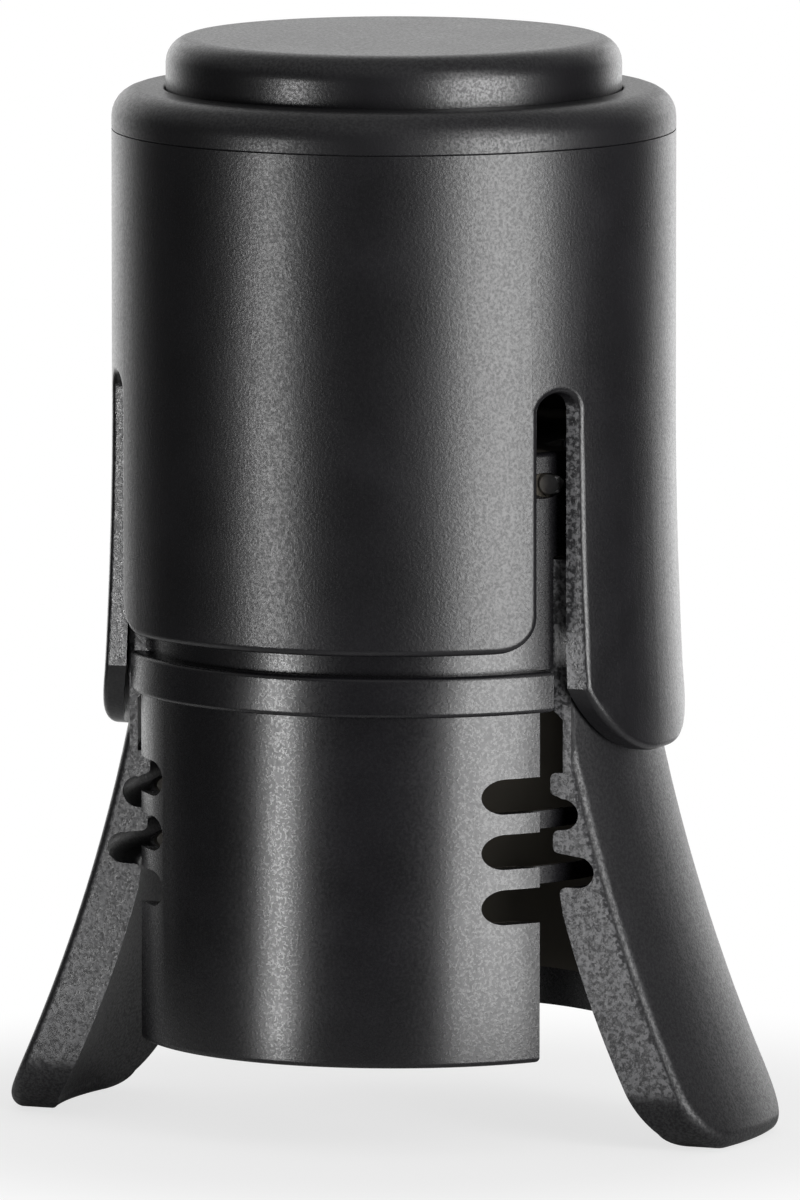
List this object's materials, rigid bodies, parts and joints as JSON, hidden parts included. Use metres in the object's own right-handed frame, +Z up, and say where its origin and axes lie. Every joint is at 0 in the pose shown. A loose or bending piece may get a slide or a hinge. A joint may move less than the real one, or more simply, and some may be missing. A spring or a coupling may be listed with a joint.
{
  "type": "champagne stopper",
  "caption": "Black moulded champagne stopper: pushing the sleeve down swings its toothed wings in under the bottle's ring, while a rubber plug and gasket close the mouth.",
  "frame": {"origin": "on the axis of the bottle, at the floor that the tips of the open wings stand on", "axes": "+Z up along the bottle's axis, +X towards the right wing, +Y towards the back panel"},
  "size_m": [0.0604, 0.0434, 0.0839],
  "materials": {
    "black_moulding": "fine spark-eroded grain",
    "black_rubber": "matt",
    "plain_steel": "drawn wire and turned pins"
  },
  "bodies": {
    "cup": {"cup": "black_moulding", "hinge_pin_right": "plain_steel", "hinge_pin_left": "plain_steel", "wing_spring_right": "plain_steel", "wing_spring_left": "plain_steel", "plug_core": "black_moulding", "plug_seal": "black_rubber", "gasket": "black_rubber"},
    "sleeve": {"sleeve": "black_moulding", "cap": "black_moulding", "cover_disc": "black_moulding", "stop_collar": "black_moulding", "friction_ring": "black_rubber", "stop_screw": "plain_steel"},
    "wing_right": {"wing_right": "black_moulding"},
    "wing_left": {"wing_left": "black_moulding"}
  },
  "joints": [
    {"name": "sleeve_slide", "type": "slide", "parent": "cup", "child": "sleeve", "axis": [0, 0, -1], "range_m": [0, 0.008]},
    {"name": "wing_right_hinge", "type": "hinge", "parent": "cup", "child": "wing_right", "pos_m": [0.0163, 0, 0.051], "axis": [0, 1, 0], "range_deg": [0, 4], "deforming": ["wing_spring_right"]},
    {"name": "wing_left_hinge", "type": "hinge", "parent": "cup", "child": "wing_left", "pos_m": [-0.0163, 0, 0.051], "axis": [0, -1, 0], "range_deg": [0, 4], "deforming": ["wing_spring_left"]}
  ],
  "couplings": [
    {"joint": "wing_right_hinge", "follows": "sleeve_slide", "rad_per_m": 8.72},
    {"joint": "wing_left_hinge", "follows": "sleeve_slide", "rad_per_m": 8.72}
  ]
}
